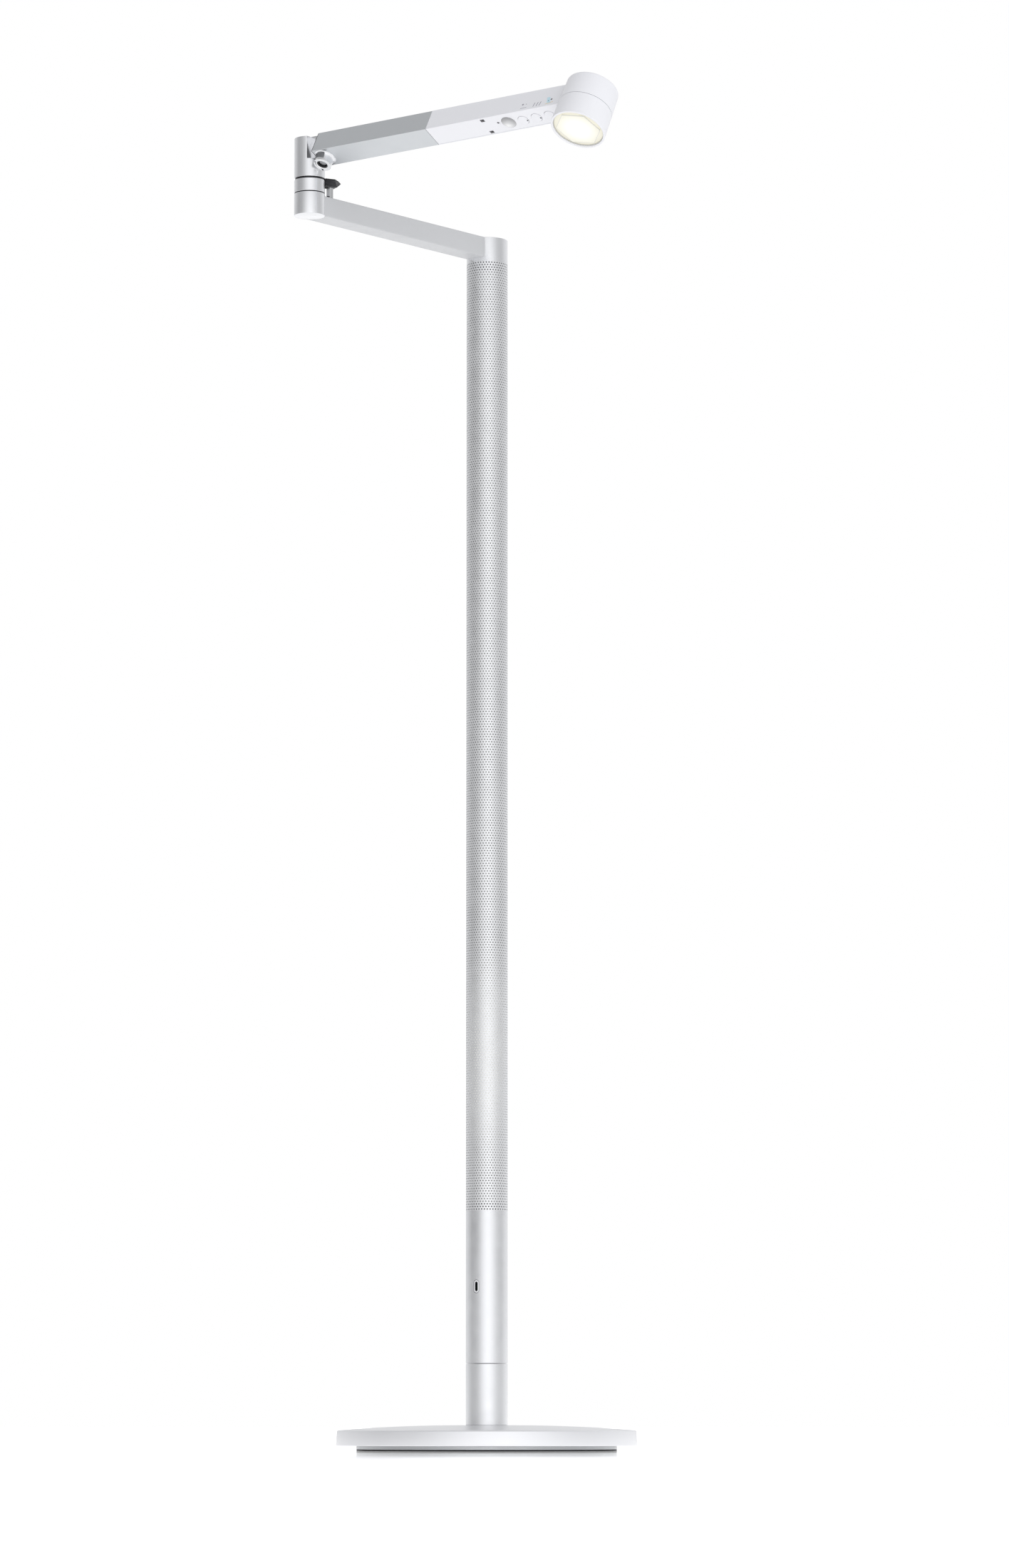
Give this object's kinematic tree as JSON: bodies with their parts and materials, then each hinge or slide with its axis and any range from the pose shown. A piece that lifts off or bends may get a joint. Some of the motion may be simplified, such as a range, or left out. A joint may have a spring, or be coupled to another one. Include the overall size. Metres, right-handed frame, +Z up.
{
  "type": "adjustable arm floor lamp",
  "caption": "Free-standing task lamp: weighted disc base, swivelling perforated stem, two horizontal arms with a stacked elbow and a rolling arm that carries a round downward-facing LED head.",
  "frame": {"origin": "centre of the base on the floor, on the stem's axis", "axes": "+Z up along the stem, +X to the right of the user's view, -Y towards the user"},
  "size_m": [0.3218, 0.5723, 1.2226],
  "materials": {
    "white_paint": "satin",
    "silver": "satin anodised",
    "arm_silver": "satin anodised",
    "grey_profile": "satin anodised",
    "steel": "turned",
    "bright_ring": "polished",
    "ballast_iron": "raw",
    "bronze": "turned",
    "copper": "drawn",
    "black_plastic": "fine grain",
    "grey_plastic": "fine grain",
    "pad_rubber": "matte",
    "cable_jacket": "matte",
    "white_plastic": "satin",
    "board_green": "solder mask",
    "board_white": "solder mask",
    "led_phosphor": "matte",
    "diffuser_white": "translucent",
    "dome_plastic": "ribbed",
    "dark_window": "polished",
    "lens_glow": "frosted"
  },
  "bodies": {
    "base": {"foot_pad": "pad_rubber", "base_cover": "steel", "ballast_plate": "ballast_iron", "base_disc": "white_paint", "base_screws": "steel", "dc_inlet": "black_plastic", "base_lead": "cable_jacket", "swivel_post": "steel", "stem_collar": "silver", "thrust_washer": "black_plastic", "post_nut": "steel"},
    "stem": {"stem_foot": "steel", "swivel_bushes": "bronze", "stem_tube": "silver", "port_bezel": "white_paint", "usb_port": "steel", "usb_board": "board_green", "electronics_sled": "white_plastic", "driver_board": "board_green", "diffuser_tube": "diffuser_white", "hub_core": "silver", "hub_window": "diffuser_white", "hub_screws": "steel", "power_cable": "cable_jacket", "lower_arm": "arm_silver", "elbow_shaft": "steel", "elbow_ring": "silver", "rest_bumper": "black_plastic", "rest_post": "silver", "elbow_nut": "steel"},
    "elbow": {"upper_knuckle": "silver", "knuckle_cap": "silver", "elbow_bush": "bronze", "roll_shaft": "steel", "roll_nut": "steel"},
    "upper_arm": {"arm_profile": "grey_profile", "arm_end_plug": "grey_profile", "roll_bushes": "bronze", "dock_boss": "silver", "dock_ring": "bright_ring", "dock_socket": "black_plastic", "dock_magnet": "steel", "boss_grille": "grey_plastic", "heat_pipe": "copper", "optic_housing": "white_plastic", "optic_cover": "white_plastic", "control_board": "board_green", "status_leds": "dark_window", "sensor_windows": "dark_window", "pir_lens": "dome_plastic", "head_cap": "white_plastic", "head_shade": "white_plastic", "heat_sink": "grey_profile", "led_board": "board_white", "led_chips": "led_phosphor", "reflector": "white_plastic", "head_lens": "lens_glow"},
    "power_button": {"power_button": "white_plastic"},
    "brightness_button": {"brightness_button": "white_plastic"},
    "warmth_button": {"warmth_button": "white_plastic"}
  },
  "joints": [
    {"name": "stem_swivel", "type": "hinge", "parent": "base", "child": "stem", "pos_m": [0, 0, 0.0816], "axis": [0, 0, 1], "range_deg": [-175, 175]},
    {"name": "elbow_swivel", "type": "hinge", "parent": "stem", "child": "elbow", "pos_m": [-0.16546, -0.18967, 1.1764], "axis": [0, 0, 1], "range_deg": [-175, 175]},
    {"name": "arm_roll", "type": "hinge", "parent": "elbow", "child": "upper_arm", "pos_m": [-0.15363, -0.19905, 1.202], "axis": [0.7837, -0.6211, 0], "range_deg": [-152, 152]},
    {"name": "power_button_press", "type": "slide", "parent": "upper_arm", "child": "power_button", "axis": [0.2935, 0.3703, 0.8813], "range_m": [0, 0.0008], "stiffness_N_per_m": 700, "springref_m": -0.0004},
    {"name": "brightness_button_press", "type": "slide", "parent": "upper_arm", "child": "brightness_button", "axis": [0.2935, 0.3703, 0.8813], "range_m": [0, 0.0008], "stiffness_N_per_m": 700, "springref_m": -0.0004},
    {"name": "warmth_button_press", "type": "slide", "parent": "upper_arm", "child": "warmth_button", "axis": [0.2935, 0.3703, 0.8813], "range_m": [0, 0.0008], "stiffness_N_per_m": 700, "springref_m": -0.0004}
  ]
}
